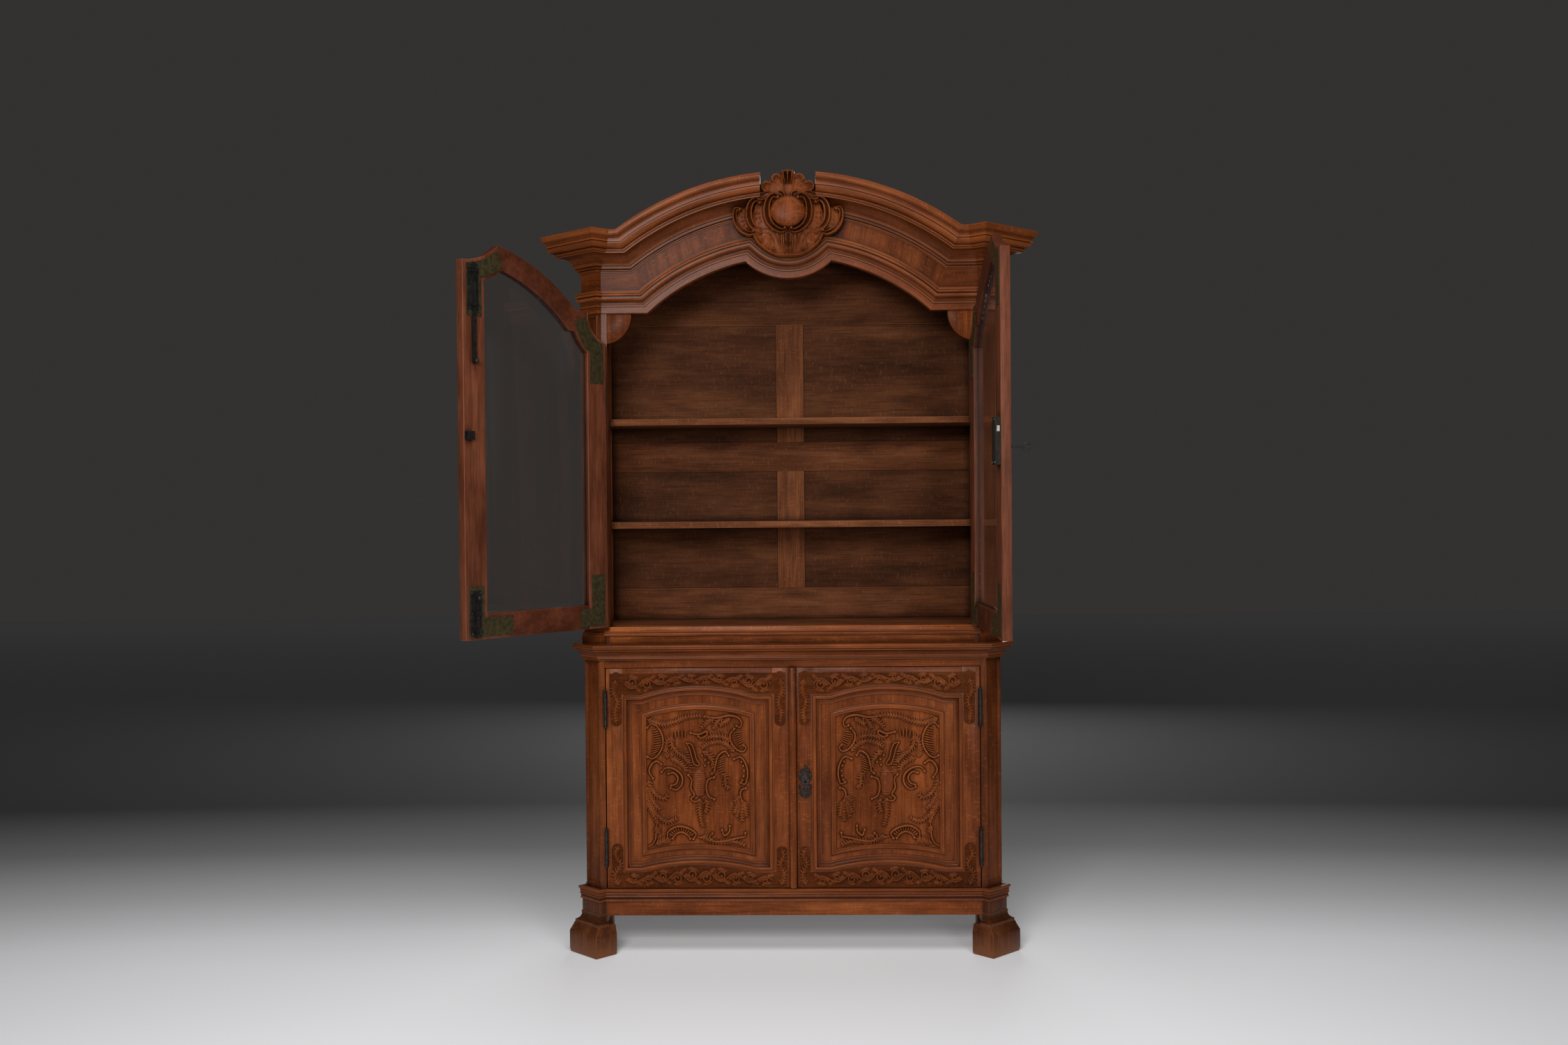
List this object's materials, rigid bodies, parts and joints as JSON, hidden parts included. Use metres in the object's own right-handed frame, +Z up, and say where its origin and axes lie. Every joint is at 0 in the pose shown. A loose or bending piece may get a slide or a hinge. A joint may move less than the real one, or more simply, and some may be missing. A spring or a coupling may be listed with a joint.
{
  "type": "display cabinet",
  "caption": "Antique oak display cabinet: carved cupboard below, glazed case above with shaped doors on hinges, shelves, arched broken cornice and crest.",
  "frame": {"origin": "on the floor, under the middle of the carcass: half way across and half way from front to back", "axes": "+Z up; the front with its doors faces -Y; +X to the right seen from the front"},
  "size_m": [1.7326, 0.9377, 2.462],
  "materials": {
    "oak": "waxed",
    "inner_oak": "oiled",
    "window_glass": "clear",
    "black_iron": "satin",
    "dull_brass": "dull",
    "worn_steel": "worn"
  },
  "bodies": {
    "cabinet": {"arch_ears": "oak", "arch_header": "oak", "architrave_mouldings": "oak", "back_frame": "inner_oak", "back_panels": "inner_oak", "base_moulding": "oak", "base_rail": "oak", "cornice_arches": "oak", "cornice_corner_blocks": "black_iron", "crest": "oak", "cupboard_shelf": "oak", "frame_hinge_leaves": "black_iron", "front_feet": "oak", "hinge_pins": "black_iron", "lower_back_boards": "inner_oak", "lower_bottom_board": "oak", "lower_corner_posts": "oak", "lower_display_shelf": "oak", "lower_top_rail": "oak", "plinth_rail": "oak", "rear_posts": "oak", "roof_board": "inner_oak", "shelf_cleats": "inner_oak", "side_panels": "oak", "side_rails": "oak", "top_bolt_keeper": "black_iron", "upper_bottom_board": "oak", "upper_corner_posts": "oak", "upper_display_shelf": "oak", "waist_board": "oak", "waist_moulding": "oak"},
    "left_glazed_door": {"left_glazed_stiles": "oak", "left_glazed_rails": "oak", "left_glass": "window_glass", "left_corner_plates": "dull_brass", "left_glazed_ironwork": "black_iron", "left_bolt_guides": "black_iron"},
    "right_glazed_door": {"right_glazed_stiles": "oak", "right_glazed_rails": "oak", "right_glass": "window_glass", "right_corner_plates": "dull_brass", "right_glazed_ironwork": "black_iron", "lock_case": "black_iron"},
    "left_cupboard_door": {"left_cupboard_stiles": "oak", "left_cupboard_rails": "oak", "left_cupboard_panel": "oak", "left_cupboard_ironwork": "black_iron", "astragal": "oak"},
    "right_cupboard_door": {"right_cupboard_stiles": "oak", "right_cupboard_rails": "oak", "right_cupboard_panel": "oak", "right_cupboard_ironwork": "black_iron", "escutcheon": "black_iron", "cupboard_lock_case": "black_iron"},
    "top_bolt": {"top_bolt": "black_iron"},
    "bottom_bolt": {"bottom_bolt": "black_iron"},
    "lock_bolt": {"lock_bolt": "worn_steel"},
    "key": {"key": "worn_steel"},
    "cupboard_lock_bolt": {"cupboard_lock_bolt": "worn_steel"}
  },
  "joints": [
    {"name": "left_glazed_door_swing", "type": "hinge", "parent": "cabinet", "child": "left_glazed_door", "pos_m": [-0.583, -0.1803, 1.5], "axis": [0, 0, -1], "range_deg": [-128, 7]},
    {"name": "right_glazed_door_swing", "type": "hinge", "parent": "cabinet", "child": "right_glazed_door", "pos_m": [0.583, -0.1803, 1.5], "axis": [0, 0, 1], "range_deg": [-92, 43]},
    {"name": "left_cupboard_door_swing", "type": "hinge", "parent": "cabinet", "child": "left_cupboard_door", "pos_m": [-0.5895, -0.1803, 0.55], "axis": [0, 0, -1], "range_deg": [0, 130]},
    {"name": "right_cupboard_door_swing", "type": "hinge", "parent": "cabinet", "child": "right_cupboard_door", "pos_m": [0.5895, -0.1803, 0.55], "axis": [0, 0, 1], "range_deg": [0, 130]},
    {"name": "top_bolt_slide", "type": "slide", "parent": "left_glazed_door", "child": "top_bolt", "axis": [0, 0, 1], "range_m": [0, 0.022]},
    {"name": "bottom_bolt_slide", "type": "slide", "parent": "left_glazed_door", "child": "bottom_bolt", "axis": [0, 0, -1], "range_m": [0, 0.022]},
    {"name": "key_turn", "type": "hinge", "parent": "right_glazed_door", "child": "key", "pos_m": [0.59683, -0.72815, 1.575], "axis": [-0.9994, -0.0349, 0], "range_deg": [0, 95]},
    {"name": "lock_bolt_slide", "type": "slide", "parent": "right_glazed_door", "child": "lock_bolt", "axis": [0.0349, -0.9994, 0], "range_m": [0, 0.014]},
    {"name": "cupboard_lock_bolt_slide", "type": "slide", "parent": "right_cupboard_door", "child": "cupboard_lock_bolt", "axis": [-1, 0, 0], "range_m": [0, 0.014]}
  ],
  "couplings": [
    {"joint": "key_turn", "follows": "lock_bolt_slide", "rad_per_m": 112}
  ]
}
